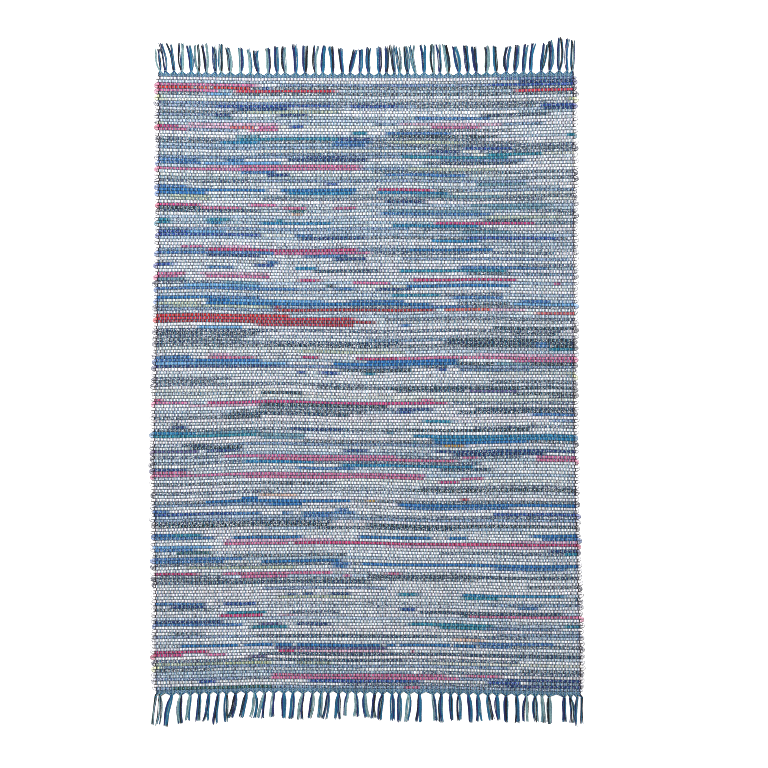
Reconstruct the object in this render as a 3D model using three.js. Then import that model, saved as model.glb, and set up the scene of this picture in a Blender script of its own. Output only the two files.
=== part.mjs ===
// Hand-woven rag rug, laid flat. Millimetres, +Z up, +X across the rug, +Y along its warp.
// The field is one ribbed sheet of cloth strips. At each end a narrow heading of fine yarn
// holds the knotted warp ends, which lie on the floor as fringe.

import * as THREE from 'three';

// Cloth: heights above the floor, and the picks of cloth strip that make the ribs.
const PICKS = 204;
const RIB_HEIGHT = 5.4;
const GROOVE_HEIGHT = 3.7;
const RIB_UNEVENNESS = 0.7;
const SELVEDGE_HEIGHT_SHARE = 0.8;

// Heading and fringe sizes.
const HEADING_WIDTH = 8;
const HEADING_HEIGHT = 4.2;
const PIECE_GAP = 0.3;
const LOCKS_PER_TASSEL = 3;
const LOCK_ROOT = { out: 8.8, pitch: 2.8, height: 4 };
const LOCK_BEND = { share: 0.5, height: 3 };
const LOCK_TIP_HEIGHT = 2.4;
const LOCK_WIDTH_LIMIT = 3.6;
const LOCK_SIDE_GAP = 0.8;
const LOCK_CURL = 1.6;
const LOCK_RAGGEDNESS = 0.07;

// The knot of one tassel in plan: half width and height at each distance out.
const KNOT = [
  { out: 0, half: 5.2, height: HEADING_HEIGHT },
  { out: 3.6, half: 3, height: HEADING_HEIGHT },
  { out: 6.8, half: 4.5, height: 5 },
];

// The middle of the rug's outer box, measured from the middle of the weave.
const BOX_MIDDLE = { x: -2.116, y: -2.034 };

// The two ends of the cloth bow in a little between the corners.
// across: place along the end, far and near: where the cloth ends there.
const END_LINE = [
  { across: -582, far: 859, near: -867 },
  { across: -300, far: 854.5, near: -859 },
  { across: 230, far: 854, near: -863.5 },
  { across: 578, far: 860, near: -871 },
];

// The outermost warp on each side wanders as the weave draws in.
const SIDE_LINE = [
  { along: -872, left: -588, right: 590 },
  { along: -740, left: -592, right: 586 },
  { along: -600, left: -590, right: 584 },
  { along: -480, left: -592, right: 580 },
  { along: -340, left: -594, right: 576 },
  { along: -190, left: -596, right: 576 },
  { along: -60, left: -593, right: 573 },
  { along: 60, left: -590, right: 573 },
  { along: 180, left: -587, right: 573 },
  { along: 300, left: -585, right: 573 },
  { along: 420, left: -581, right: 573 },
  { along: 560, left: -582, right: 573 },
  { along: 700, left: -582, right: 572 },
  { along: 860, left: -583, right: 572 },
];

// The cloth strips turn back past the outermost warp in loops, one for each pair of picks.
const SELVEDGE_LOOP = {
  left: { least: 6, most: 11, firstStation: 0 },
  right: { least: 9, most: 15, firstStation: 2 },
};
const LOOP_STATIONS = 4;
const LOOP_DIP = 4.5;
const LOOP_SHOULDER = 0.9;

// Fringe tassels. root: place along the heading, lean: how far the tip lies to the side,
// length: reach from the heading, spread: width at the tips.
const FAR_TASSELS = [
  { root: -579, lean: -9, length: 67, spread: 12 },
  { root: -564, lean: -13, length: 81, spread: 7 },
  { root: -540, lean: -14, length: 81, spread: 8 },
  { root: -518, lean: -3, length: 82, spread: 10 },
  { root: -492, lean: -8, length: 79, spread: 12 },
  { root: -472, lean: -5, length: 82, spread: 13 },
  { root: -450, lean: -5, length: 82, spread: 10 },
  { root: -425, lean: -3, length: 78, spread: 11 },
  { root: -409, lean: -1, length: 83, spread: 8 },
  { root: -384, lean: -7, length: 73, spread: 16 },
  { root: -354, lean: -1, length: 73, spread: 11 },
  { root: -327, lean: -7, length: 71, spread: 15 },
  { root: -306, lean: -5, length: 69, spread: 13 },
  { root: -277, lean: -4, length: 73, spread: 15 },
  { root: -253, lean: -4, length: 78, spread: 14 },
  { root: -231, lean: -3, length: 77, spread: 16 },
  { root: -201, lean: -2, length: 83, spread: 11 },
  { root: -175, lean: -1, length: 80, spread: 15 },
  { root: -146, lean: 1, length: 80, spread: 12 },
  { root: -126, lean: 5, length: 81, spread: 11 },
  { root: -99, lean: -4, length: 80, spread: 12 },
  { root: -71, lean: -5, length: 73, spread: 14 },
  { root: -50, lean: 15, length: 70, spread: 9 },
  { root: -22, lean: 0, length: 72, spread: 13 },
  { root: 2, lean: -3, length: 76, spread: 14 },
  { root: 31, lean: -3, length: 77, spread: 15 },
  { root: 51, lean: 0, length: 77, spread: 9 },
  { root: 73, lean: -5, length: 82, spread: 11 },
  { root: 88, lean: -6, length: 77, spread: 11 },
  { root: 110, lean: -8, length: 80, spread: 12 },
  { root: 131, lean: -10, length: 82, spread: 14 },
  { root: 156, lean: -5, length: 83, spread: 8 },
  { root: 182, lean: -2, length: 84, spread: 8 },
  { root: 200, lean: -6, length: 85, spread: 11 },
  { root: 223, lean: -11, length: 84, spread: 13 },
  { root: 253, lean: -13, length: 78, spread: 14 },
  { root: 278, lean: -6, length: 80, spread: 15 },
  { root: 301, lean: -6, length: 77, spread: 15 },
  { root: 330, lean: 2, length: 78, spread: 15 },
  { root: 356, lean: -5, length: 78, spread: 9 },
  { root: 385, lean: 8, length: 76, spread: 15 },
  { root: 409, lean: 6, length: 80, spread: 12 },
  { root: 433, lean: 7, length: 81, spread: 9 },
  { root: 453, lean: 8, length: 85, spread: 14 },
  { root: 482, lean: 12, length: 81, spread: 11 },
  { root: 506, lean: 2, length: 90, spread: 9 },
  { root: 532, lean: 3, length: 97, spread: 12 },
  { root: 554, lean: 1, length: 96, spread: 9 },
  { root: 568, lean: 5, length: 91, spread: 10 },
];

const NEAR_TASSELS = [
  { root: -591, lean: -10, length: 88, spread: 9 },
  { root: -579, lean: -6, length: 91, spread: 9 },
  { root: -547, lean: -16, length: 93, spread: 12 },
  { root: -521, lean: -4, length: 87, spread: 15 },
  { root: -495, lean: -6, length: 80, spread: 10 },
  { root: -469, lean: -4, length: 81, spread: 10 },
  { root: -443, lean: -9, length: 82, spread: 9 },
  { root: -417, lean: -9, length: 91, spread: 8 },
  { root: -394, lean: -4, length: 86, spread: 9 },
  { root: -369, lean: -13, length: 75, spread: 11 },
  { root: -339, lean: -11, length: 75, spread: 16 },
  { root: -315, lean: -5, length: 77, spread: 16 },
  { root: -288, lean: -11, length: 77, spread: 11 },
  { root: -263, lean: -6, length: 74, spread: 10 },
  { root: -234, lean: 0, length: 77, spread: 10 },
  { root: -209, lean: -4, length: 79, spread: 12 },
  { root: -181, lean: -8, length: 80, spread: 11 },
  { root: -154, lean: -8, length: 77, spread: 8 },
  { root: -130, lean: -5, length: 75, spread: 8 },
  { root: -111, lean: -8, length: 79, spread: 12 },
  { root: -82, lean: -4, length: 79, spread: 16 },
  { root: -57, lean: -7, length: 68, spread: 12 },
  { root: -34, lean: -1, length: 71, spread: 16 },
  { root: -9, lean: 5, length: 74, spread: 14 },
  { root: 18, lean: -2, length: 76, spread: 11 },
  { root: 40, lean: -6, length: 81, spread: 9 },
  { root: 67, lean: 4, length: 80, spread: 12 },
  { root: 87, lean: 2, length: 85, spread: 12 },
  { root: 114, lean: -8, length: 83, spread: 10 },
  { root: 143, lean: -4, length: 84, spread: 9 },
  { root: 181, lean: 8, length: 81, spread: 10 },
  { root: 204, lean: 1, length: 85, spread: 9 },
  { root: 230, lean: 2, length: 80, spread: 11 },
  { root: 253, lean: 2, length: 80, spread: 10 },
  { root: 280, lean: 6, length: 83, spread: 11 },
  { root: 306, lean: 4, length: 79, spread: 11 },
  { root: 334, lean: 10, length: 77, spread: 15 },
  { root: 359, lean: 5, length: 77, spread: 11 },
  { root: 384, lean: 0, length: 81, spread: 15 },
  { root: 414, lean: -1, length: 82, spread: 14 },
  { root: 440, lean: 1, length: 77, spread: 16 },
  { root: 465, lean: 1, length: 78, spread: 13 },
  { root: 484, lean: 3, length: 80, spread: 12 },
  { root: 504, lean: 1, length: 82, spread: 10 },
  { root: 546, lean: 2, length: 77, spread: 14 },
  { root: 563, lean: 3, length: 80, spread: 9 },
  { root: 582, lean: -2, length: 90, spread: 11 },
  { root: 595, lean: 2, length: 82, spread: 7 },
];

// Steps that make a sine wave look like chance, and one series for each use of it.
const CHANCE = { indexStep: 12.9898, seriesStep: 78.233, gain: 43758.5453 };
const CHANCE_SERIES = {
  loops: { left: 1, right: 2 },
  ribs: 3,
  lockLength: { far: 10, near: 40 },
  lockBend: { far: 11, near: 41 },
};

// The same number from 0 to 1 for the same index and series.
function uneven(index, series) {
  const wave = Math.sin(index * CHANCE.indexStep + series * CHANCE.seriesStep) * CHANCE.gain;
  return wave - Math.floor(wave);
}

// Reads one column of a table at a place between its rows, on a straight line.
function readTable(table, placeColumn, column, place) {
  const last = table.length - 1;
  let row = 0;
  while (row < last - 1 && place > table[row + 1][placeColumn]) row += 1;
  const from = table[row];
  const to = table[row + 1];
  const share = (place - from[placeColumn]) / (to[placeColumn] - from[placeColumn]);
  const held = THREE.MathUtils.clamp(share, 0, 1);
  return THREE.MathUtils.lerp(from[column], to[column], held);
}

function clothEnd(side, across) {
  return readTable(END_LINE, 'across', side, across);
}

function outerWarp(side, along) {
  return readTable(SIDE_LINE, 'along', side, along);
}

// Where a line of the weave runs: share 0 is the near end of the field and 1 its far end.
function weaveLine(share, across) {
  const near = clothEnd('near', across) + HEADING_WIDTH + PIECE_GAP;
  const far = clothEnd('far', across) - HEADING_WIDTH - PIECE_GAP;
  return THREE.MathUtils.lerp(near, far, share);
}

// How far the cloth stands past the outermost warp. Each loop takes in two picks, and the
// loops of the two sides are one pick apart, as the strip goes to and fro.
function loopReach(station, side) {
  const { least, most, firstStation } = SELVEDGE_LOOP[side];
  const loop = Math.floor((station + firstStation) / LOOP_STATIONS);
  const part = (station + firstStation) % LOOP_STATIONS;
  const reach = THREE.MathUtils.lerp(least, most, uneven(loop, CHANCE_SERIES.loops[side]));
  if (part === 0) return reach - LOOP_DIP;
  if (part === LOOP_STATIONS / 2) return reach;
  return reach - LOOP_SHOULDER;
}

function closedGeometry(points, triangles) {
  const geometry = new THREE.BufferGeometry();
  geometry.setAttribute('position', new THREE.Float32BufferAttribute(points, 3));
  geometry.setIndex(triangles);
  return geometry;
}

// Places between the corners where the end line turns, so the weave's lines turn there too.
const INNER_PLACES = END_LINE.slice(1, -1).map((row) => row.across);

// The ribbed field. Stations run along the rug, even ones in a groove and odd ones on a rib.
// Columns run across it: selvedge loop, outer warp, inner places, outer warp, loop.
function fieldGeometry() {
  const stations = 2 * PICKS;
  const columns = 2 + INNER_PLACES.length + 2;
  const points = [];
  const triangles = [];
  const rim = [];

  for (let station = 0; station <= stations; station += 1) {
    const share = station / stations;
    const middle = weaveLine(share, 0);
    const left = outerWarp('left', middle);
    const right = outerWarp('right', middle);
    const places = [
      left - loopReach(station, 'left'),
      left,
      ...INNER_PLACES,
      right,
      right + loopReach(station, 'right'),
    ];
    const onRib = station % 2 === 1;
    places.forEach((across, column) => {
      const atSelvedge = column === 0 || column === columns - 1;
      const level = onRib ? RIB_HEIGHT : GROOVE_HEIGHT;
      const chance = uneven(station, CHANCE_SERIES.ribs + column) - 0.5;
      const lift = onRib ? chance * RIB_UNEVENNESS : 0;
      const height = (level + lift) * (atSelvedge ? SELVEDGE_HEIGHT_SHARE : 1);
      points.push(across, weaveLine(share, across), height);
    });
  }

  const at = (station, column) => station * columns + column;
  for (let station = 0; station < stations; station += 1) {
    for (let column = 0; column < columns - 1; column += 1) {
      const a = at(station, column);
      const b = at(station, column + 1);
      const c = at(station + 1, column + 1);
      const d = at(station + 1, column);
      triangles.push(a, b, c, a, c, d);
    }
  }

  for (let column = 0; column < columns; column += 1) rim.push(at(0, column));
  for (let station = 1; station <= stations; station += 1) rim.push(at(station, columns - 1));
  for (let column = columns - 2; column >= 0; column -= 1) rim.push(at(stations, column));
  for (let station = stations - 1; station > 0; station -= 1) rim.push(at(station, 0));

  const floorStart = points.length / 3;
  const outline = rim.map((index) => new THREE.Vector2(points[3 * index], points[3 * index + 1]));
  outline.forEach((corner) => points.push(corner.x, corner.y, 0));
  rim.forEach((upper, step) => {
    const next = (step + 1) % rim.length;
    const lower = floorStart + step;
    const lowerNext = floorStart + next;
    triangles.push(upper, lower, lowerNext, upper, lowerNext, rim[next]);
  });
  THREE.ShapeUtils.triangulateShape(outline, []).forEach(([a, b, c]) => {
    triangles.push(floorStart + a, floorStart + c, floorStart + b);
  });
  return closedGeometry(points, triangles);
}

// One lock of warp yarns in plan, from its left bend round the tip to its right bend.
function lockOutline(side, out, tassel, index, lock) {
  const edge = clothEnd(side, tassel.root);
  const order = lock - (LOCKS_PER_TASSEL - 1) / 2;
  const lockIndex = index * LOCKS_PER_TASSEL + lock;
  const ragged = 1 - LOCK_RAGGEDNESS * uneven(lockIndex, CHANCE_SERIES.lockLength[side]);
  const curl = LOCK_CURL * (2 * uneven(index, CHANCE_SERIES.lockBend[side]) - 1);
  const tipPitch = Math.max(tassel.spread / LOCKS_PER_TASSEL, LOCK_ROOT.pitch);
  const bendPitch = THREE.MathUtils.lerp(LOCK_ROOT.pitch, tipPitch, LOCK_BEND.share);
  const width = Math.min(bendPitch - LOCK_SIDE_GAP, LOCK_WIDTH_LIMIT);
  const bend = {
    x: tassel.root + tassel.lean * LOCK_BEND.share + order * bendPitch + curl,
    y: edge + out * tassel.length * LOCK_BEND.share,
    top: LOCK_BEND.height,
  };
  const tip = {
    x: tassel.root + tassel.lean + order * tipPitch,
    y: edge + out * tassel.length * ragged,
    top: LOCK_TIP_HEIGHT,
  };
  return [
    { ...bend, x: bend.x - width / 2 },
    { ...tip, x: tip.x - width / 2 },
    { ...tip, x: tip.x + width / 2 },
    { ...bend, x: bend.x + width / 2 },
  ];
}

// One tassel in plan: up one side of the knot, round each lock, and down the other side.
function tasselOutline(side, out, tassel, index) {
  const edge = clothEnd(side, tassel.root);
  const knotSide = (hand) => KNOT.map((row) => ({
    x: tassel.root + hand * row.half,
    y: edge + out * row.out,
    top: row.height,
  }));
  const outline = knotSide(-1);
  for (let lock = 0; lock < LOCKS_PER_TASSEL; lock += 1) {
    if (lock > 0) {
      const order = lock - LOCKS_PER_TASSEL / 2;
      outline.push({
        x: tassel.root + order * LOCK_ROOT.pitch,
        y: edge + out * LOCK_ROOT.out,
        top: LOCK_ROOT.height,
      });
    }
    outline.push(...lockOutline(side, out, tassel, index, lock));
  }
  outline.push(...knotSide(1).reverse());
  return outline;
}

// A closed solid on the floor from an outline whose points each have their own height.
function raisedOutline(outline) {
  const clockwise = THREE.ShapeUtils.isClockWise(outline);
  const ring = clockwise ? [...outline].reverse() : outline;
  const corners = ring.map(({ x, y }) => new THREE.Vector2(x, y));
  const points = [];
  const triangles = [];
  ring.forEach(({ x, y, top }) => points.push(x, y, top));
  ring.forEach(({ x, y }) => points.push(x, y, 0));
  THREE.ShapeUtils.triangulateShape(corners, []).forEach(([a, b, c]) => {
    triangles.push(a, b, c, ring.length + a, ring.length + c, ring.length + b);
  });
  ring.forEach((corner, upper) => {
    const next = (upper + 1) % ring.length;
    const lower = ring.length + upper;
    const lowerNext = ring.length + next;
    triangles.push(upper, lower, lowerNext, upper, lowerNext, next);
  });
  return closedGeometry(points, triangles);
}

// The heading strip with its row of tassels. out is +1 at the far end, -1 at the near end.
function fringeGeometry(side, out, tassels) {
  const corner = END_LINE[0].across;
  const farCorner = END_LINE[END_LINE.length - 1].across;
  const margin = KNOT[0].half + PIECE_GAP;
  const left = Math.min(corner, tassels[0].root - margin);
  const right = Math.max(farCorner, tassels[tassels.length - 1].root + margin);
  const headingPoint = (across, reach) => ({
    x: across,
    y: clothEnd(side, across) + out * reach,
    top: HEADING_HEIGHT,
  });
  const innerEdge = [left, ...INNER_PLACES, right].map(
    (across) => headingPoint(across, -HEADING_WIDTH),
  );
  const outerEdge = [
    headingPoint(left, 0),
    ...tassels.flatMap((tassel, index) => tasselOutline(side, out, tassel, index)),
    headingPoint(right, 0),
  ];
  return raisedOutline([...innerEdge, ...outerEdge.reverse()]);
}

function clothPiece(name, geometry, color) {
  geometry.computeVertexNormals();
  const material = new THREE.MeshStandardMaterial({ color, roughness: 0.95, metalness: 0 });
  const mesh = new THREE.Mesh(geometry, material);
  mesh.name = name;
  mesh.position.set(-BOX_MIDDLE.x, -BOX_MIDDLE.y, 0);
  return mesh;
}

const rug = new THREE.Group();
rug.add(clothPiece('rug_field', fieldGeometry(), 0xa9b4c4));
rug.add(clothPiece('fringe_far', fringeGeometry('far', 1, FAR_TASSELS), 0x3f5a72));
rug.add(clothPiece('fringe_near', fringeGeometry('near', -1, NEAR_TASSELS), 0x3f5a72));

export default rug;
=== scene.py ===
import math
import random
from collections import namedtuple

import bpy
import numpy as np
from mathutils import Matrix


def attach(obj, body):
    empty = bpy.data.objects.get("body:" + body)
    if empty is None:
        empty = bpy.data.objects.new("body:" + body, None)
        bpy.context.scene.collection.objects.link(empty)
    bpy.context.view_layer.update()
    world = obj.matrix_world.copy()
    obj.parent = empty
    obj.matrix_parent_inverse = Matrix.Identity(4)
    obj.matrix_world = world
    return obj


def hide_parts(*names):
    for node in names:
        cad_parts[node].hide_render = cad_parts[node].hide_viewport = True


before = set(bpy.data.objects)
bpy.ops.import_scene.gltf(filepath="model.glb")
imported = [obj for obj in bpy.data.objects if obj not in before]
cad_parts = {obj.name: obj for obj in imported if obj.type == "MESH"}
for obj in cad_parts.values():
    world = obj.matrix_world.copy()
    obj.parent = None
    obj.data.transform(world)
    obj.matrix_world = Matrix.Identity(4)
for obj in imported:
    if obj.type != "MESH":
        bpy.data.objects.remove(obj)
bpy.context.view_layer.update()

# Everything below is in millimetres from the middle of the weave, and becomes metres in the
# frame of the model when a mesh is made.
MILLIMETRE = 0.001
BOX_MIDDLE = np.array([-2.116, -2.034, 0.0])

# The cloth.
PICKS = 204
WARPS = 576
WARP_COLOURS = 6
HEADING_WIDTH = 8.0
PIECE_GAP = 0.3
HEADING_PICKS = 3


def table(kind, *rows):
    """Rows of numbers as rows with the named columns of their kind."""
    return [kind(*row) for row in rows]


# Where the cloth ends at the far and near side, at each place across the rug.
EndRow = namedtuple("EndRow", "across far near")
END_LINE = table(
    EndRow,
    (-582, 859, -867),
    (-300, 854.5, -859),
    (230, 854, -863.5),
    (578, 860, -871),
)

# Where the outermost warps run.
SideRow = namedtuple("SideRow", "along left right")
SIDE_LINE = table(
    SideRow,
    (-872, -588, 591),
    (-740, -592, 591),
    (-600, -590, 586),
    (-480, -592, 583),
    (-340, -594, 578),
    (-190, -596, 576),
    (-60, -593, 573),
    (60, -590, 573),
    (180, -587, 573),
    (300, -585, 573),
    (420, -581, 573),
    (560, -582, 573),
    (700, -582, 572),
    (860, -583, 572),
)

# Loops of cloth strip past the outermost warps.
LoopRow = namedtuple("LoopRow", "least most first_station chance")
LOOPS = {"left": LoopRow(11, 16, 0, 1), "right": LoopRow(9, 15, 2, 2)}

# Half of one cloth strip's section, from its upper ridge round to its lower one:
# aside from the middle of the strip, and height above the floor.
SectionPoint = namedtuple("SectionPoint", "aside height")
STRIP_SECTION = table(
    SectionPoint, (-4.4, 2.35), (-2.3, 3.75), (0.0, 4.75), (2.3, 3.75), (4.4, 2.35), (0.0, 0.5),
)
HEADING_SECTION = table(
    SectionPoint, (-1.4, 2.0), (-0.7, 3.0), (0.0, 3.3), (0.7, 3.0), (1.4, 2.0), (0.0, 0.6),
)
HEADING_HALF_WIDTH = 1.4
HEADING_STATIONS = 61
STATION_STEP = 25.0
PICK_PITCH = 8.32
# How far the print of a strip is shifted against its neighbour's.
PRINT_SHIFT = 37.0
# Plain strips are pieced from this far out, and no cloth reaches past the limit.
PIECES_START = 640.0
CLOTH_LIMIT = 700.0
SHORTEST_PIECE = 240
LONGEST_PIECE = 1100
# Strips charted this far out run on past the selvedge, and others may end a little aside.
CHART_EDGE = 560
CHART_OVERRUN = 30
CHART_SLACK = 4
# How far along the strip one cloth changes into the next.
SHORTEST_CHANGE = 0.6
LONGEST_CHANGE = 16.0
STRIP_HALF_WIDTH = 4.4
STRIP_OVERLAP = 0.24
LOOP_HALF_WIDTH = 2.8
LOOP_HEIGHT_SHARE = 0.84
LOOP_WHITE = np.array([0.86, 0.85, 0.87])
LOOP_WHITE_SHARE = 0.85
LOOP_FADE_SHARE = 0.3

# One float of a warp yarn: heights at the groove and over the pick, and half widths.
FLOAT_OVER_RAG = dict(groove=3.0, crest=5.55, under=0.05, under_groove=2.1)
FLOAT_OVER_YARN = dict(groove=2.6, crest=4.1, under=0.05, under_groove=1.6)
YARN_HALF_WIDTH = dict(groove=0.82, crest=0.86, under=0.7)
EDGE_YARN_SHARE = 1.6
EDGE_WARPS = 2
YARN_SHOULDER = 0.5
# How dark the painted shade makes a yarn's sides and underside.
SIDE_PAINTED_SHADE = 0.85

# How a warp wanders aside: depth and length of each wave, and its slack at a crossing.
WARP_WANDER = ((0.36, 61), (0.24, 23))
WARP_SLACK = 0.28
# The unevenness of the yarns repeats after this many.
YARN_SERIES = 97
# The sides of a fringe or knot yarn.
YARN_SIDES = 4
# The map of a warp piece: how much of it the floats take, where the far fringe starts, and
# the size and pitch of a side's fringe.
FLOAT_MAP_SHARE = 0.84
FRINGE_MAP_START = 0.85
FRINGE_MAP_SIZE = 0.066
FRINGE_MAP_PITCH = 0.075

# Fringe: where the knot sits out from the heading, and how the yarns lie past it.
KNOT_OUT = 6.6
KNOT_END = 10.0
KNOT_STEPS = 9
KNOT_HALF_WIDTH = 3.5
KNOT_HALF_HEIGHT = 1.35
KNOT_MIDDLE = 2.5
KNOT_YARN = 0.95
FRINGE_YARN = 1.2
YARN_TIP_SHARE = 0.75
FRINGE_RAGGEDNESS = 0.09
LONGEST_YARN = {"far": 1.055, "near": 1.01}
FULL_TASSEL = 7
TASSEL_HALF_WIDTH = 5.8
TASSEL_SPREAD_SHARE = 0.12
TASSEL_SWAY = 3.0
STRAND_SWAY = 2.4
TIP_SWAY = 3.4

# look: the yarns that lie on top on its left and right, by the letters of YARN_CHOICE.
Tassel = namedtuple("Tassel", "root lean length spread look")
FAR_TASSELS = table(
    Tassel,
    (-579, -9, 67, 12, "gd"), (-564, -13, 81, 7, "kk"), (-540, -14, 81, 8, "kd"),
    (-518, -3, 82, 10, "kg"), (-492, -8, 79, 12, "dd"), (-472, -5, 82, 13, "gk"),
    (-450, -5, 82, 10, "kg"), (-425, -3, 78, 11, "dn"), (-409, -1, 83, 8, "gk"),
    (-384, -7, 73, 16, "kg"), (-354, -1, 73, 11, "gd"), (-327, -7, 71, 15, "gg"),
    (-306, -5, 69, 13, "kk"), (-277, -4, 73, 15, "gn"), (-253, -4, 78, 14, "dd"),
    (-231, -3, 77, 16, "kg"), (-201, -2, 83, 11, "dd"), (-175, -1, 80, 15, "dk"),
    (-146, 1, 80, 12, "kg"), (-126, 5, 81, 11, "dd"), (-99, -4, 80, 12, "tk"),
    (-71, -5, 73, 14, "kk"), (-50, 15, 70, 9, "kk"), (-22, 0, 72, 13, "dd"), (2, -3, 76, 14, "dk"),
    (31, -3, 77, 15, "tn"), (51, 0, 77, 9, "nn"), (73, -5, 82, 11, "kk"), (88, -6, 77, 11, "tg"),
    (110, -8, 80, 12, "kn"), (131, -10, 82, 14, "tg"), (156, -5, 83, 8, "dd"),
    (182, -2, 84, 8, "kg"), (200, -6, 85, 11, "dk"), (223, -11, 84, 13, "gk"),
    (253, -13, 78, 14, "dd"), (278, -6, 80, 15, "nk"), (301, -6, 77, 15, "dk"),
    (330, 2, 78, 15, "kg"), (356, -5, 78, 9, "tk"), (385, 8, 76, 15, "kk"), (409, 6, 80, 12, "kd"),
    (433, 7, 81, 9, "dd"), (453, 8, 85, 14, "dd"), (482, 12, 81, 11, "dk"), (506, 2, 90, 9, "kk"),
    (532, 3, 97, 12, "dk"), (554, 1, 96, 9, "dd"), (568, 5, 91, 10, "kg"),
)
NEAR_TASSELS = table(
    Tassel,
    (-591, -10, 88, 9, "kg"), (-579, -6, 91, 9, "gk"), (-547, -16, 93, 12, "dt"),
    (-521, -4, 87, 15, "gk"), (-495, -6, 80, 10, "gg"), (-469, -4, 81, 10, "dk"),
    (-443, -9, 82, 9, "nd"), (-417, -9, 91, 8, "nn"), (-394, -4, 86, 9, "tk"),
    (-369, -13, 75, 11, "kd"), (-339, -11, 75, 16, "kt"), (-315, -5, 77, 16, "gt"),
    (-288, -11, 77, 11, "gn"), (-263, -6, 74, 10, "gn"), (-234, 0, 77, 10, "dd"),
    (-209, -4, 79, 12, "td"), (-181, -8, 80, 11, "gn"), (-154, -8, 77, 8, "ng"),
    (-130, -5, 75, 8, "tg"), (-111, -8, 79, 12, "kd"), (-82, -4, 79, 16, "tn"),
    (-57, -7, 68, 12, "dg"), (-34, -1, 71, 16, "gd"), (-9, 5, 74, 14, "dg"), (18, -2, 76, 11, "dk"),
    (40, -6, 81, 9, "nn"), (67, 4, 80, 12, "td"), (87, 2, 85, 12, "dd"), (114, -8, 83, 10, "gg"),
    (143, -4, 84, 9, "kt"), (181, 8, 81, 10, "gd"), (204, 1, 85, 9, "kk"), (230, 2, 80, 11, "dk"),
    (253, 2, 80, 10, "kt"), (280, 6, 83, 11, "nd"), (306, 4, 79, 11, "dd"), (334, 10, 77, 15, "tk"),
    (359, 5, 77, 11, "dd"), (384, 0, 81, 15, "nk"), (414, -1, 82, 14, "kt"), (440, 1, 77, 16, "ng"),
    (465, 1, 78, 13, "nk"), (484, 3, 80, 12, "gg"), (504, 1, 82, 10, "kg"), (546, 2, 77, 14, "dn"),
    (563, 3, 80, 9, "nn"), (582, -2, 90, 11, "dd"), (595, 2, 82, 7, "kk"),
)
# Each side's tassels, and the way along the rug that its fringe points.
SIDES = {"far": (FAR_TASSELS, 1), "near": (NEAR_TASSELS, -1)}
# Each knot piece: its side, which turn of the knot it is, and its yarn.
KnotRow = namedtuple("KnotRow", "name side turn yarn")
KNOTS = table(
    KnotRow,
    ("knots_far_dark", "far", 0, "navy"),
    ("knots_far_light", "far", 1, "sage"),
    ("knots_near_dark", "near", 0, "black"),
    ("knots_near_light", "near", 1, "teal"),
)

# The cloths that the strips are torn from: colour, and how strongly each carries thin
# lines, small light spots and dark blotches.
Cloth = namedtuple("Cloth", "red green blue lines spots blotches")
CLOTHS = {
    "shirting": Cloth(241, 235, 241, 0.6, 0.0, 0.22),
    "ice": Cloth(231, 233, 239, 0.3, 0.0, 0.35),
    "pale_blue": Cloth(198, 209, 226, 0.35, 0.1, 0.45),
    "pale_grey": Cloth(218, 219, 226, 0.6, 0.0, 0.55),
    "white": Cloth(242, 241, 246, 0.2, 0.0, 0.15),
    "grey_print": Cloth(217, 217, 223, 0.5, 0.2, 0.95),
    "blue_print": Cloth(148, 166, 200, 0.4, 0.5, 0.7),
    "pale_teal": Cloth(190, 203, 215, 0.4, 0.2, 0.5),
    "cream": Cloth(226, 226, 220, 0.3, 0.0, 0.3),
    "olive_cream": Cloth(192, 198, 174, 0.3, 0.2, 0.45),
    "pink_pale": Cloth(228, 179, 202, 0.3, 0.2, 0.1),
    "pink": Cloth(202, 100, 142, 0.2, 0.25, 0.1),
    "magenta": Cloth(190, 56, 108, 0.1, 0.1, 0.1),
    "salmon": Cloth(212, 96, 88, 0.2, 0.1, 0.0),
    "red": Cloth(204, 42, 42, 0.1, 0.0, 0.1),
    "brick": Cloth(170, 40, 42, 0.3, 0.1, 0.3),
    "purple": Cloth(96, 74, 124, 0.3, 0.3, 0.5),
    "navy": Cloth(38, 46, 108, 0.2, 0.45, 0.3),
    "navy_spots": Cloth(24, 30, 62, 0.0, 1.0, 0.0),
    "royal": Cloth(46, 66, 152, 0.2, 0.35, 0.2),
    "bright_blue": Cloth(40, 104, 172, 0.1, 0.1, 0.15),
    "blue": Cloth(62, 107, 170, 0.3, 0.4, 0.3),
    "sky": Cloth(110, 162, 214, 0.2, 0.2, 0.0),
    "blue_grey": Cloth(104, 122, 164, 0.4, 0.4, 0.4),
    "teal_blue": Cloth(30, 120, 168, 0.2, 0.2, 0.2),
    "teal": Cloth(34, 126, 150, 0.2, 0.2, 0.2),
    "teal_grey": Cloth(106, 144, 162, 0.4, 0.3, 0.3),
    "green": Cloth(50, 88, 78, 0.3, 0.3, 0.4),
    "charcoal": Cloth(50, 53, 66, 0.2, 0.6, 0.3),
    "black_spots": Cloth(24, 25, 32, 0.0, 1.0, 0.0),
    "ochre": Cloth(200, 150, 60, 0.2, 0.0, 0.0),
    "peach": Cloth(228, 189, 172, 0.2, 0.0, 0.0),
    "lime": Cloth(202, 208, 164, 0.2, 0.0, 0.0),
}

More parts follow.
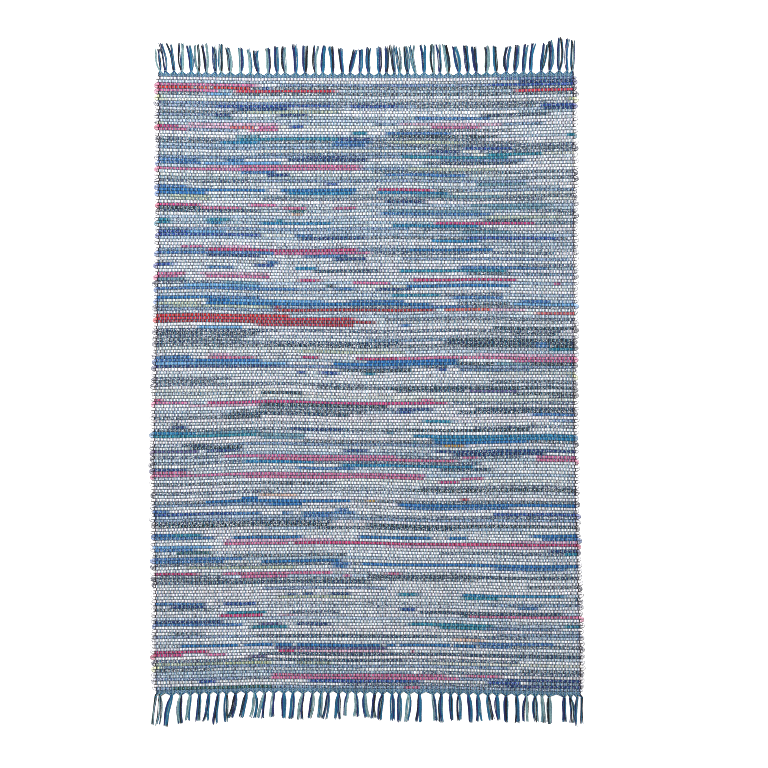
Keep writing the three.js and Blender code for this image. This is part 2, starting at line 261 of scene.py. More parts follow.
# How the plain cloths share out over the length of the rug. first: first pick of the zone
# from the far end, and then the weight of each cloth in it.
Zone = namedtuple(
    "Zone", "first shirting ice pale_blue pale_grey white grey_print blue_print cream pale_teal"
)
ZONES = table(
    Zone,
    (0, 4, 3, 2, 2, 3, 6, 2, 1, 3),
    (6, 3, 4, 1, 2, 2, 2, 1, 4, 2),
    (9, 4, 3, 2, 2, 3, 6, 2, 1, 3),
    (23, 3, 4, 1, 2, 2, 2, 1, 4, 2),
    (26, 4, 3, 2, 2, 3, 6, 2, 1, 3),
    (39, 3, 4, 1, 2, 2, 2, 1, 4, 2),
    (42, 5, 4, 3, 3, 2, 4, 2, 1, 3),
    (80, 7, 3, 1, 3, 4, 4, 1, 1, 1),
    (90, 5, 3, 1, 2, 3, 2, 1, 5, 1),
    (92, 7, 3, 1, 3, 4, 4, 1, 1, 1),
    (106, 5, 3, 1, 2, 3, 2, 1, 4, 1),
    (108, 7, 4, 1, 4, 4, 3, 1, 1, 1),
    (140, 8, 6, 3, 2, 5, 2, 1, 0, 1),
    (194, 5, 4, 1, 2, 4, 2, 1, 3, 1),
    (198, 7, 4, 3, 1, 4, 3, 1, 0, 1),
    (200, 3, 3, 4, 1, 2, 3, 5, 0, 1),
)

# The weaver's chart of coloured strips: pick from the far end, and where the strip starts
# and stops across the rug, in centimetres from the middle.
Strip = namedtuple("Strip", "pick start stop")


def strips(*rows):
    return table(Strip, *rows)


CHART = {
    "pink_pale": strips(
        (77, 34, 44), (15, -50, -25), (16, -52, -38), (29, -45, -36), (56, -41, -33),
        (65, -47, -27), (92, -44, -38), (92, 30, 57), (109, -50, 6), (154, -40, -10), (156, 5, 50),
        (179, -24, -20), (191, -20, 5), (154, 40, 57),
    ),
    "pink": strips(
        (199, -27, 22), (2, -57, -31), (4, -57, -42), (16, -31, -25), (17, -58, -50),
        (17, -33, -25), (29, -36, -2), (30, -59, -2), (42, -33, -25), (43, -46, -35),
        (43, -24, -17), (43, -10, -3), (56, -52, -46), (58, -26, 1), (65, -59, -51), (66, -59, -52),
        (66, -45, -27), (68, -4, 6), (68, 52, 54), (93, -44, -32), (93, 8, 57), (94, 40, 57),
        (107, 15, 18), (108, -60, -50), (126, -40, -33), (126, -35, 8), (127, -30, 25),
        (126, 26, 31), (126, 47, 57), (127, 47, 57), (131, -60, -50), (132, -60, 16),
        (133, -35, 16), (133, 26, 32), (155, -40, -22), (165, -40, -10), (165, 5, 9),
        (166, -35, -22), (166, -7, -5), (179, 28, 57), (191, 12, 13), (192, -45, -39),
        (200, -27, 25), (199, 27, 37), (203, 10, 14),
    ),
    "magenta": strips(
        (16, -59, -53), (42, -59, -46), (57, -45, -3), (67, -19, -13), (93, -19, -14), (93, -3, 8),
        (107, -60, -57), (108, -45, 22), (134, 20, 25), (155, -21, 57), (165, -58, -47),
        (179, -41, -29), (191, -60, -44), (191, -25, -20), (192, -60, -51),
    ),
    "salmon": strips((78, 47, 57), (77, 21, 34), (16, -38, -31), (3, -48, -44)),
    "red": strips(
        (3, -57, -49), (3, -43, -33), (4, -37, -9), (4, 40, 57), (79, -60, -22), (80, -60, -3),
    ),
    "brick": strips((76, -26, -24), (77, -26, 19), (81, -60, 2), (82, -31, -4), (140, 26, 28)),
    "purple": strips(
        (182, -30, -24), (190, -26, 5), (193, -33, -28), (104, 28, 42), (124, -58, -47),
    ),
    "navy": strips(
        (1, 42, 57), (10, -37, -22), (10, 48, 57), (12, -25, -17), (12, -43, -38), (20, -8, 2),
        (26, -18, -5), (27, -22, 0), (32, -28, -22), (53, -19, 0), (59, -45, -30), (60, -10, 0),
        (70, 2, 12), (96, -58, -25), (110, 8, 18), (116, -55, -50), (116, 38, 40), (117, -22, -7),
        (124, -45, -35), (124, -7, 0), (124, 18, 60), (125, 23, 50), (130, -60, -50), (157, 50, 57),
        (172, -23, -20), (172, -18, -15), (172, -11, -5), (176, -55, -45), (181, -60, -40),
        (182, -20, -10), (200, 38, 57), (202, 38, 57),
    ),
    "royal": strips(
        (2, 33, 58), (3, -30, -27), (9, -43, -10), (9, -5, 9), (9, 48, 57), (16, -22, -18),
        (35, -12, -8), (51, -60, -50), (52, -57, -30), (62, -59, -54), (62, -32, -26), (97, 19, 22),
        (98, -20, -17), (98, -13, -8), (111, 8, 13), (145, -60, -38), (145, 35, 57),
        (175, -40, -31), (177, 9, 13), (201, -47, -42), (201, -17, 15), (201, 33, 42),
    ),
    "bright_blue": strips(
        (142, 8, 57), (189, -30, -26), (189, -52, -36), (189, 9, 23), (189, -20, 4), (37, -59, -28),
        (37, -24, -3), (73, -60, -43), (74, -45, -38), (75, -45, 18), (94, -48, -30), (94, 0, 25),
        (95, -10, 25), (121, 18, 45), (140, -35, -31), (141, -45, -5), (142, -28, -18),
        (152, -60, -54), (152, 45, 57), (153, -38, -18), (153, -3, 18), (153, 22, 28),
        (161, -30, -7), (162, -2, 57), (189, -35, -30), (189, -26, -21), (189, 5, 8), (189, 24, 30),
        (38, -60, -45),
    ),
    "blue": strips(
        (145, -38, -30), (21, -10, 1), (22, -10, 0), (27, -58, -47), (27, -40, -34), (28, -59, -46),
        (31, -35, -26), (36, -58, -50), (52, -20, -15), (58, -59, -25), (59, -18, -5),
        (61, -28, -25), (63, -45, -37), (70, -58, -20), (70, -10, -3), (73, -43, -30),
        (74, -60, -57), (74, -5, 10), (74, 42, 51), (82, 9, 12), (88, 46, 50), (89, 46, 50),
        (93, -58, -49), (94, -60, -48), (112, 45, 57), (130, -20, -3), (143, 10, 40),
        (144, -57, -55), (144, -9, -5), (145, -24, -21), (145, -18, -3), (146, -18, -10),
        (153, -60, -43), (153, 48, 57), (157, -58, -48), (160, -60, -35), (161, -60, -40),
        (162, -10, -5), (163, -10, -5), (163, 35, 55), (175, -58, -45), (176, 42, 47),
        (182, -60, -35), (188, 30, 52), (189, 31, 40),
    ),
    "sky": strips(
        (5, -45, -38), (28, -46, -24), (51, -50, -40), (69, -52, -30), (74, -38, -12), (75, 40, 57),
        (83, -47, -35), (95, -58, -22), (156, -57, -43),
    ),
    "blue_grey": strips((183, 34, 53), (2, 2, 18), (0, 36, 57), (96, -25, 10), (97, 25, 45)),
    "teal_blue": strips(
        (21, -42, -30), (38, -23, -3), (48, -45, -40), (48, -30, -10), (63, -20, -14),
        (118, -60, -48), (119, 13, 60), (120, 18, 57), (128, -35, -15), (129, -8, 30),
        (172, 26, 55),
    ),
    "teal": strips(
        (18, -5, 0), (20, -37, -8), (19, 55, 58), (47, -60, -55), (47, -45, -38), (47, -26, -23),
        (48, -60, -55), (90, 50, 57), (98, -1, 2), (114, 15, 24), (119, -60, -31), (152, -54, -46),
        (158, 55, 58), (172, 8, 15), (173, 26, 37), (178, -40, -28), (182, 11, 35), (182, 55, 60),
        (183, 20, 34), (183, -33, -22),
    ),
    "teal_grey": strips(
        (13, -43, -38), (19, -37, -30), (67, -58, -50), (68, -40, -30), (95, 36, 45),
        (118, -48, -30), (119, -31, -17), (120, -30, -18), (121, 12, 14), (118, 5, 7),
    ),
    "green": strips((158, -53, -43), (203, -55, -27), (44, -22, -17)),
    "grey_print": strips(
        (11, -57, -35), (84, -20, 55), (87, -58, -35), (100, -58, -42), (101, -58, -42),
        (136, 15, 57), (138, -58, -25), (166, -58, -40), (177, -60, -42), (186, 20, 45),
        (198, 15, 57), (197, -58, -43), (110, -30, 8), (111, -37, 0), (185, -55, -45),
        (178, -22, -8),
    ),
    "charcoal": strips(
        (43, -58, -45), (44, -58, -30), (64, -15, 4), (69, -12, -9), (83, 35, 57), (87, 22, 57),
        (88, 20, 57), (89, 25, 57), (95, 25, 35), (95, 45, 57), (96, 15, 22), (97, -8, 12),
        (103, 6, 57), (104, 8, 27), (105, -30, -18), (109, -30, 5), (110, 30, 57), (112, -40, -5),
        (113, -40, -30), (117, 10, 45), (122, -52, -43), (123, -50, -35), (130, 20, 35),
        (149, 0, 57), (166, 0, 57), (168, -50, 0), (178, 14, 55), (186, -32, 20), (192, -30, 60),
        (194, -25, 10),
    ),
    "navy_spots": strips(
        (84, -58, -25), (85, -57, -30), (85, 40, 52), (88, -58, -50), (88, -28, 10), (89, -30, 6),
        (111, 25, 57),
    ),
    "black_spots": strips(
        (105, 40, 57), (106, 50, 57), (137, 10, 57), (148, -58, -10), (149, -58, -10),
        (150, -15, 25),
    ),
    "olive_cream": strips(
        (11, -35, -8), (39, -55, -44), (40, -55, -44), (75, -59, -47), (76, -55, -27),
        (91, -20, 10), (163, -50, -20), (173, -25, -5), (195, -58, -40), (195, -20, -10),
    ),
    "ochre": strips((122, 21, 27), (141, 0, 2)),
    "peach": strips((45, -22, -18), (139, -30, -20), (187, 24, 32)),
    "lime": strips(
        (195, -40, -27), (6, -60, -57.5), (7, -60, -57.5), (15, -60, -57.5), (75, -60, -58),
        (196, -60, -57.5), (7, 56, 60), (98, 56.5, 60), (99, 56.5, 60),
    ),
}

# Where the rug can't be seen its strips go on by chance, in the same cloths: the picks and
# the part of the rug's width that this covers, how often a pick has one, and the cloths.
UNSEEN = dict(first=11, last=77, start=2, stop=54, often=0.62, shortest=8, longest=34)
UNSEEN_CLOTHS = {
    "navy": 3, "royal": 3, "blue": 5, "bright_blue": 2, "teal_blue": 3, "teal": 2, "teal_grey": 3,
    "pink": 3, "pink_pale": 2, "magenta": 1, "charcoal": 3, "grey_print": 3, "olive_cream": 2,
    "sky": 2, "blue_grey": 3,
}

# Cotton of the warp, and denim for the headings: colour, how strong the painted shade between the plies
# is, and how far the tone of the dye wanders along a yarn.
Yarn = namedtuple("Yarn", "red green blue twist uneven_dye")
YARNS = {
    "black": Yarn(23, 21, 27, 0.15, 0.3),
    "teal": Yarn(26, 92, 126, 0.25, 0.18),
    "navy": Yarn(30, 38, 92, 0.25, 0.2),
    "sage": Yarn(112, 144, 147, 0.4, 0.18),
    "denim": Yarn(98, 126, 150, 0.3, 0.42),
}
# The order in which the warp is threaded, and the piece of each place in it.
THREADING = ["black", "teal", "teal", "navy", "sage", "sage"]
WARP_PIECES = ["warp_black", "warp_teal_1", "warp_teal_2", "warp_navy", "warp_sage_1", "warp_sage_2"]
# Which yarns come to the top of a tassel that looks black, navy, denim, teal or grey.
YARN_CHOICE = {
    "k": ["black", "navy", "teal", "sage"],
    "n": ["navy", "black", "teal", "sage"],
    "d": ["navy", "teal", "black", "sage"],
    "t": ["teal", "sage", "navy", "black"],
    "g": ["sage", "teal", "black", "navy"],
}

chance = random.Random(204)


def linear(red, green, blue):
    """Screen colour from 0 to 255, as light."""
    return tuple(((c / 255 + 0.055) / 1.055) ** 2.4 if c > 10 else c / 3295 for c in (red, green, blue))


def uneven(index, series):
    wave = math.sin(index * 12.9898 + series * 78.233) * 43758.5453
    return wave - math.floor(wave)


def column(table, name):
    return np.array([getattr(row, name) for row in table], float)


def cloth_end(side, across):
    return np.interp(across, column(END_LINE, "across"), column(END_LINE, side))


def outer_warp(side, along):
    return np.interp(along, column(SIDE_LINE, "along"), column(SIDE_LINE, side))


# The line between two picks wavers, as the strips are thick in one place and thin in
# another: depth in millimetres, and how quickly it comes and goes across the rug.
waver_chance = np.random.default_rng(31)
LONG_WAVER = dict(
    depth=0.62,
    length=waver_chance.uniform(40, 90, PICKS + 1),
    start=waver_chance.uniform(0, 2 * math.pi, PICKS + 1),
)
SHORT_WAVER = dict(
    depth=0.34,
    length=waver_chance.uniform(14, 30, PICKS + 1),
    start=waver_chance.uniform(0, 2 * math.pi, PICKS + 1),
)
SHARED_WAVER = dict(depth=1.7, length=115.0, drift=9.0)
FINER_WAVER = dict(share=0.6, length=61.0, drift=-1.7)


def weave_line(pick, across):
    """The line on the far side of a pick, counted from the far end."""
    share = 1 - pick / PICKS
    near = cloth_end("near", across) + HEADING_WIDTH + PIECE_GAP
    far = cloth_end("far", across) - HEADING_WIDTH - PIECE_GAP
    line = near + (far - near) * share
    if pick in (0, PICKS):
        return line
    for waver in (LONG_WAVER, SHORT_WAVER):
        line = line + waver["depth"] * np.sin(across / waver["length"][pick] + waver["start"][pick])
    shared = np.sin(across / SHARED_WAVER["length"] + SHARED_WAVER["drift"] * share)
    finer = across / FINER_WAVER["length"] + FINER_WAVER["drift"] * SHARED_WAVER["drift"] * share
    shared = shared + FINER_WAVER["share"] * np.sin(finer)
    return line + SHARED_WAVER["depth"] * shared * math.sin(math.pi * share) ** 0.5


def pick_middle(pick, across):
    return (weave_line(pick, across) + weave_line(pick + 1, across)) / 2


def pick_half_width(pick, across):
    return (weave_line(pick, across) - weave_line(pick + 1, across)) / 2 + STRIP_OVERLAP


def warp_across(place, along):
    """Where a warp runs. place is its number, and along the distance up the rug."""
    left, right = outer_warp("left", along), outer_warp("right", along)
    return left + (right - left) * place / (WARPS - 1)


def loop_reach(side, pick_from_near):
    loop = LOOPS[side]
    number = (2 * pick_from_near + 1 + loop.first_station) // 4
    return loop.least + (loop.most - loop.least) * uneven(number, loop.chance)


ATTRIBUTE_FIELDS = {"FLOAT": "value", "FLOAT_VECTOR": "vector", "FLOAT_COLOR": "color"}


def make_piece(name, points, quads, material, bake_map, attributes):
    """A mesh object from arrays, with its map for baking, and its point attributes."""
    mesh = bpy.data.meshes.new(name)
    placed = (np.asarray(points) - BOX_MIDDLE) * MILLIMETRE
    quads = np.asarray(quads, np.int32)
    sides = quads.shape[1]
    mesh.vertices.add(len(placed))
    mesh.vertices.foreach_set("co", placed.astype(np.float32).ravel())
    mesh.loops.add(quads.size)
    mesh.loops.foreach_set("vertex_index", quads.ravel())
    mesh.polygons.add(len(quads))
    mesh.polygons.foreach_set("loop_start", np.arange(0, quads.size, sides, dtype=np.int32))
    mesh.polygons.foreach_set("use_smooth", np.ones(len(quads), bool))
    for label, kind, values in attributes:
        values = np.asarray(values, np.float32)
        if kind == "FLOAT_COLOR":
            values = np.concatenate([values, np.ones((len(placed), 1), np.float32)], 1)
        attribute = mesh.attributes.new(label, kind, "POINT")
        attribute.data.foreach_set(ATTRIBUTE_FIELDS[kind], values.ravel())
    layer = mesh.uv_layers.new(name="OFBake")
    layer.data.foreach_set("uv", np.asarray(bake_map, np.float32).ravel())
    mesh.update(calc_edges=True)
    mesh.validate()
    mesh.materials.append(material)
    piece = bpy.data.objects.new(name, mesh)
    bpy.context.scene.collection.objects.link(piece)
    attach(piece, "root")
    return piece


# Materials.


class Shader:
    """Short names for the nodes of one material."""

    def __init__(self, name):
        self.material = bpy.data.materials.new(name)
        self.material.use_nodes = True
        self.nodes = self.material.node_tree.nodes
        self.links = self.material.node_tree.links
        self.surface = self.nodes["Principled BSDF"]

    def put(self, socket, value):
        if isinstance(value, bpy.types.NodeSocket):
            self.links.new(value, socket)
        else:
            socket.default_value = value

    def attribute(self, name, output):
        node = self.nodes.new("ShaderNodeAttribute")
        node.attribute_name = name
        return node.outputs[output]

    def split(self, vector):
        node = self.nodes.new("ShaderNodeSeparateXYZ")
        self.put(node.inputs[0], vector)
        return node.outputs

    def math(self, operation, *values):
        node = self.nodes.new("ShaderNodeMath")
        node.operation = operation
        for socket, value in zip(node.inputs, values):
            self.put(socket, value)
        return node.outputs[0]

    def times(self, first, second):
        return self.math("MULTIPLY", first, second)

    def away_from(self, value, middle):
        return self.math("ABSOLUTE", self.math("SUBTRACT", value, middle))

    def scaled(self, vector, x, y, z):
        node = self.nodes.new("ShaderNodeVectorMath")
        node.operation = "MULTIPLY"
        self.put(node.inputs[0], vector)
        node.inputs[1].default_value = (x, y, z)
        return node.outputs[0]

    def noise(self, vector, x, y, z, detail=2.0):
        """Noise whose grain along each axis is set by how far the vector is scaled on it."""
        scaled = self.scaled(vector, x, y, z)
        node = self.nodes.new("ShaderNodeTexNoise")
        self.put(node.inputs["Vector"], scaled)
        node.inputs["Scale"].default_value = 1.0
        node.inputs["Detail"].default_value = detail
        return node.outputs[0]

    def cells(self, vector):
        node = self.nodes.new("ShaderNodeTexVoronoi")
        self.put(node.inputs["Vector"], vector)
        node.inputs["Scale"].default_value = 1.0
        return node.outputs["Distance"]

    def fit(self, value, low, high, to_low, to_high):
        node = self.nodes.new("ShaderNodeMapRange")
        node.interpolation_type = "SMOOTHSTEP"
        for socket, number in zip(node.inputs, (value, low, high, to_low, to_high)):
            self.put(socket, number)
        return node.outputs[0]

    def shaded(self, value, *rows):
        """The value times each row's noise, fitted from low and high to dark and light."""
        for noise, low, high, dark, light in rows:
            value = self.times(value, self.fit(noise, low, high, dark, light))
        return value

    def mix(self, share, first, second):
        node = self.nodes.new("ShaderNodeMix")
        node.data_type = "RGBA"
        self.put(node.inputs[0], share)
        self.put(node.inputs[6], first)
        self.put(node.inputs[7], second)
        return node.outputs[2]

    def brighten(self, colour, value):
        node = self.nodes.new("ShaderNodeHueSaturation")
        self.put(node.inputs["Color"], colour)
        self.put(node.inputs["Value"], value)
        return node.outputs[0]

    def bump(self, height, distance, strength):
        node = self.nodes.new("ShaderNodeBump")
        node.inputs["Strength"].default_value = strength
        node.inputs["Distance"].default_value = distance
        self.put(node.inputs["Height"], height)
        self.put(self.surface.inputs["Normal"], node.outputs[0])

    def finish(self, colour, roughness, specular, sheen):
        self.put(self.surface.inputs["Base Color"], colour)
        self.surface.inputs["Roughness"].default_value = roughness
        self.surface.inputs["Specular IOR Level"].default_value = specular
        self.surface.inputs["Sheen Weight"].default_value = sheen


# Half the width over which painted shade darkens a strip towards its sides.
SHADED_HALF_WIDTH = 4.6
COTTON_ROUGHNESS = 0.92


def rag_material():
    """Printed and plain cotton strips: pillows between the floats, creased lengthwise, with painted shade at
    their sides, beside the floats, on the low parts of the folds and in the creases.
    """
    shader = Shader("rag_cotton")
    place = shader.attribute("rag_place", "Vector")
    around = shader.split(place)["Y"]
    tint = shader.attribute("rag_tint", "Color")
    lines, spots, blotches = shader.split(shader.attribute("rag_print", "Vector"))
    warp_place = shader.attribute("warp_place", "Fac")

    folds = shader.noise(place, 0.035, 0.42, 3.7)
    crease = shader.away_from(shader.noise(place, 0.018, 0.34, 6.1, 1.0), 0.5)
    mottle = shader.noise(place, 0.045, 0.1, 5.3)
    threads = shader.noise(place, 1.9, 1.9, 1.0)
    line_place = shader.away_from(shader.noise(place, 0.012, 0.5, 7.1, 0.0), 0.47)
    blotch_noise = shader.noise(place, 0.2, 0.32, 2.9)
    patches = shader.noise(place, 0.13, 0.1, 8.3)
    grains = shader.noise(place, 0.31, 0.05, 5.7, 1.0)
    spot_cells = shader.cells(shader.scaled(place, 0.3, 0.36, 4.1))

    # The prints, one over another: thin lines, dark blotches and light spots.
    line_share = shader.times(shader.fit(line_place, 0.012, 0.03, 1.0, 0.0), lines)
    lined = shader.mix(line_share, tint, (0.1, 0.11, 0.19, 1.0))
    limit = shader.math("MULTIPLY_ADD", blotches, -0.32, 0.75)
    over_limit = shader.math("SUBTRACT", blotch_noise, limit)
    blotched = shader.mix(shader.fit(over_limit, 0.0, 0.03, 0.0, 0.9), lined, (0.035, 0.04, 0.075, 1.0))
    spot_size = shader.times(shader.math("SQRT", spots), 0.46)
    petals = shader.noise(place, 0.75, 0.75, 2.2, 1.0)
    spot_cells = shader.math("MULTIPLY_ADD", petals, 0.55, shader.math("SUBTRACT", spot_cells, 0.275))
    inside = shader.math("SUBTRACT", spot_size, spot_cells)
    spotted = shader.mix(shader.fit(inside, -0.02, 0.05, 0.0, 0.92), blotched, (0.78, 0.76, 0.8, 1.0))

    # Painted shade: the strip is darker at its sides, towards the joints between picks, and beside each
    # float of the warp.
    over = shader.math("COSINE", shader.times(warp_place, math.pi))
    over = shader.times(over, shader.attribute("rag_face", "Fac"))
    beside = shader.fit(over, -1.0, 1.0, 0.0, 1.0)
    aside = shader.math("DIVIDE", shader.math("ABSOLUTE", around), SHADED_HALF_WIDTH)
    aside = shader.times(shader.math("POWER", aside, 2.0), 1.08)
    rim = shader.math("MULTIPLY_ADD", shader.math("POWER", beside, 2.0), 0.86, aside)
    value = shader.shaded(
        shader.fit(rim, 0.2, 1.12, 0.95, 0.1),
        # Painted shade on the low parts of the folds and in the creases, as their bump; the rows after these
        # are the cloth's own tone.
        (folds, 0.3, 0.7, 0.88, 1.06),
        (crease, 0.0, 0.02, 0.72, 1.0),
        (mottle, 0.3, 0.7, 0.86, 1.08),
        (patches, 0.34, 0.6, 0.8, 1.06),
        (grains, 0.34, 0.62, 0.62, 1.12),
        (threads, 0.3, 0.7, 0.93, 1.05),
    )
    shader.finish(shader.brighten(spotted, value), COTTON_ROUGHNESS, 0.2, 0.03)
    pillow = shader.fit(rim, 0.2, 1.3, 0.8, 0.0)
    relief = shader.math("ADD", pillow, shader.times(folds, 0.9))
    relief = shader.math("ADD", relief, shader.fit(crease, 0.0, 0.03, -0.16, 0.0))
    relief = shader.math("ADD", relief, shader.times(threads, 0.06))
    shader.bump(relief, 0.0016, 0.8)
    return shader.material


def yarn_material(name, yarn):
    """Two-ply cotton yarn, with painted shade between the plies and on its sides and underside, and painted
    light on top.
    """
    shader = Shader(name)
    place = shader.attribute("yarn_place", "Vector")
    along, across, _ = shader.split(place)
    # The plies: painted shade in the grooves between them and painted light on their crests, with a bump of
    # the same.
    turn = shader.math("ADD", shader.times(along, 0.42), shader.times(across, 0.3))
    plies = shader.math("ABSOLUTE", shader.math("SINE", shader.times(turn, math.pi)))
    fuzz = shader.noise(place, 1.3, 1.2, 3.3, 3.0)
    fade = shader.noise(place, 0.015, 0.0, 1.7, 1.0)
    dye = shader.noise(place, 0.2, 0.0, 2.3, 1.0)
    # Painted shade: the yarn lighter on top and darker at its sides and underside.
    depth = shader.attribute("yarn_painted_shade", "Fac")
    value = shader.shaded(
        shader.fit(plies, 0.0, 0.7, 1.0 - yarn.twist, 1.0 + 0.2 * yarn.twist),
        (depth, 0.0, 1.0, 1.12, 0.4),
        (fuzz, 0.3, 0.7, 0.82, 1.18),
        (fade, 0.3, 0.7, 0.9, 1.1),
        (dye, 0.36, 0.64, 1 - yarn.uneven_dye, 1 + yarn.uneven_dye),
    )
    colour = (*linear(yarn.red, yarn.green, yarn.blue), 1.0)
    shader.finish(shader.brighten(colour, value), COTTON_ROUGHNESS, 0.15, 0.04)
    shader.bump(shader.math("ADD", plies, shader.times(fuzz, 0.3)), 0.0005, 0.7)
    return shader.material


def floor_material():
    shader = Shader("studio_floor")
    position = shader.nodes.new("ShaderNodeTexCoord").outputs["Object"]
    grain = shader.noise(position, 9.0, 9.0, 9.0)
    shader.put(
        shader.surface.inputs["Base Color"],
        shader.mix(grain, (0.93, 0.93, 0.93, 1.0), (0.95, 0.95, 0.95, 1.0)),
    )
    shader.surface.inputs["Roughness"].default_value = 0.9
    return shader.material


# The cloth strips.


def plain_stretches(pick):
    """The plain cloths of one pick from left to right, as (start, stop, cloth name)."""
    zone = [row for row in ZONES if row.first <= pick][-1]
    names = Zone._fields[1:]
    stretches = []
    start = -PIECES_START
    while start < PIECES_START:
        stop = start + chance.uniform(SHORTEST_PIECE, LONGEST_PIECE)
        stretches.append((start, stop, chance.choices(names, zone[1:])[0]))
        start = stop
    return stretches


def coloured_stretches(pick):
    found = []
    for name, rows in CHART.items():
        for row in rows:
            if row.pick == pick:
                start, stop = row.start * 10, row.stop * 10
                start += chance.uniform(-CHART_SLACK, CHART_SLACK) if start > -CHART_EDGE else -CHART_OVERRUN
                stop += chance.uniform(-CHART_SLACK, CHART_SLACK) if stop < CHART_EDGE else CHART_OVERRUN
                found.append((start, stop, name))
    if UNSEEN["first"] <= pick <= UNSEEN["last"] and chance.random() < UNSEEN["often"]:
        length = chance.uniform(UNSEEN["shortest"], UNSEEN["longest"])
        start = chance.uniform(UNSEEN["start"], UNSEEN["stop"] - length)
        name = chance.choices(list(UNSEEN_CLOTHS), list(UNSEEN_CLOTHS.values()))[0]
        start, stop = start * 10, (start + length) * 10
        if all(stop < other[0] or start > other[1] for other in found):
            found.append((start, stop, name))
    return sorted(found)


def pick_stations(left, right, changes):
    """Places along a pick: even steps, and a close pair wherever the cloth changes."""
    count = int((right - left) / STATION_STEP)
    even = list(np.linspace(left, right, count + 1))
    changes = [(c, r) for c, r in changes if left + 2 + r < c < right - 2 - r]
    kept = [p for i, p in enumerate(even) if i in (0, count) or all(abs(p - c) > r + 1 for c, r in changes)]
    for place, reach in changes:
        kept += [place - reach, place + reach]
    return sorted(set(kept))


def loop_path(reach, turn):
    """Steps past the outermost warp: out, towards the partner pick, half width, height share."""
    out = reach - LOOP_HALF_WIDTH
    pitch = PICK_PITCH * turn
    if turn == 0:
        return [(share * out, 0.0, 3.6 - share, 0.9) for share in (0.3, 0.6, 0.85, 1.0)]
    return [
        (0.45 * out, 0.0, 3.9, 0.97),
        (0.82 * out, 0.1 * pitch, 3.3, 0.92),
        (out, 0.3 * pitch, 2.9, 0.88),
        (out, 0.53 * pitch, LOOP_HALF_WIDTH, LOOP_HEIGHT_SHARE),
    ]


def loop_turn(side, pick_from_near):
    """Which way the strip turns at this side: 1 towards the far end, -1 to the near, 0 for its end."""
    if side == "left":
        return 1 if pick_from_near % 2 == 0 else -1
    if pick_from_near in (0, PICKS - 1):
        return 0
    return 1 if pick_from_near % 2 else -1


def tangent(path, i):
    """Which way a path runs at its point i, seen from above."""
    before, after = path[max(i - 1, 0)], path[min(i + 1, len(path) - 1)]
    return after[0] - before[0], after[1] - before[1]


def square_to(way):
    """The direction square to another, one long."""
    length = math.hypot(*way)
    return np.array([-way[1], way[0]]) / length


def section_ring(centre, way, half_width, height_share, section):
    """One ring of a strip: its section's points, turned square to its path."""
    aside = square_to(way)
    widest = section[4].aside
    ring = []
    for point in section:
        step = -point.aside / widest * half_width
        height = SECTION_MIDDLE + (point.height - SECTION_MIDDLE) * height_share
        ring.append((centre[0] + aside[0] * step, centre[1] + aside[1] * step, height))
    return ring


# Share of the map's strip that each side of the section takes, from its first point round.
MAP_SHARES = np.array([0.0, 0.2, 0.4, 0.6, 0.8, 0.9, 1.0])
# At each point of a strip's section: place round the strip, and whether it faces up or down.
AROUND = np.array([-4.9, -2.4, 0.0, 2.4, 4.9, 0.0])
FACE = np.array([0.7, 1.0, 1.0, 1.0, 0.7, -1.0])
SECTION_SIDES = len(AROUND)
SECTION_MIDDLE = 2.35
# The halves that close a tube's end, by the numbers of its section's points.
CAPS = ((0, 1, 2, 5), (2, 3, 4, 5))


def tube_faces(first, rings, sides=SECTION_SIDES):
    """Quads round a tube, whose two ends stay open."""
    station = np.arange(rings - 1)[:, None]
    side = np.arange(sides)[None, :]
    after = (side + 1) % sides
    a = first + station * sides + side
    b = first + station * sides + after
    c = first + (station + 1) * sides + after
    d = first + (station + 1) * sides + side
    return np.stack([a, d, c, b], -1).reshape(-1, 4)


def map_cell(u0, u1, v0, v1, turn=0):
    """The corners of one face's cell in the map, from its corner number turn."""
    corners = [(u0, v0), (u1, v0), (u1, v1), (u0, v1)]
    return corners[turn:] + corners[:turn]


def map_steps(start, size, count):
    """Where each of a number of equal steps starts and stops."""
    return [(start + size * i / count, start + size * (i + 1) / count) for i in range(count)]


def tube_map(places, low, high, start, stop):
    """Map corners for tube_faces: places run from 0 to 1 along the tube."""
    along = low + (high - low) * places
    rows = start + (stop - start) * MAP_SHARES
    corners = []
    for i in range(len(places) - 1):
        for side in range(SECTION_SIDES):
            corners += map_cell(along[i], along[i + 1], rows[side], rows[side + 1])
    return corners


def cloth_changes(plain, coloured):
    """Where the cloth of one pick changes, and how far each change reaches."""
    changes = [stop for _, stop, _ in plain]
    changes = [c for c in changes if not any(s < c < e for s, e, _ in coloured)]
    changes += [place for start, stop, _ in coloured for place in (start, stop)]
    changes = sorted(changes)
    gaps = np.diff([-CLOTH_LIMIT, *changes, CLOTH_LIMIT])
    reaches = [
        min(chance.uniform(SHORTEST_CHANGE, LONGEST_CHANGE), 0.4 * min(gaps[i], gaps[i + 1]))
        for i in range(len(changes))
    ]
    return [(c, r) for c, r in zip(changes, reaches) if r > 0.2]


def pick_path(pick, left, right, stations, swell, thick):
    """The way of one strip, as rows of across, along, half width and height share."""
    from_near = PICKS - 1 - pick
    loops = []
    for side, edge, sign in (("left", left, -1), ("right", right, 1)):
        steps = loop_path(loop_reach(side, from_near), loop_turn(side, from_near))
        line = float(pick_middle(pick, edge))
        loops.append([(edge + sign * out, line + up, half, tall) for out, up, half, tall in steps])
    path = loops[0][::-1]
    for place in stations:
        half = float(pick_half_width(pick, place))
        grow = 0.05 * math.sin(place / 31 + swell) + 0.3 * (half / STRIP_HALF_WIDTH - 1)
        path.append((place, float(pick_middle(pick, place)), half, 1.0 + thick + grow))
    return path + loops[1]


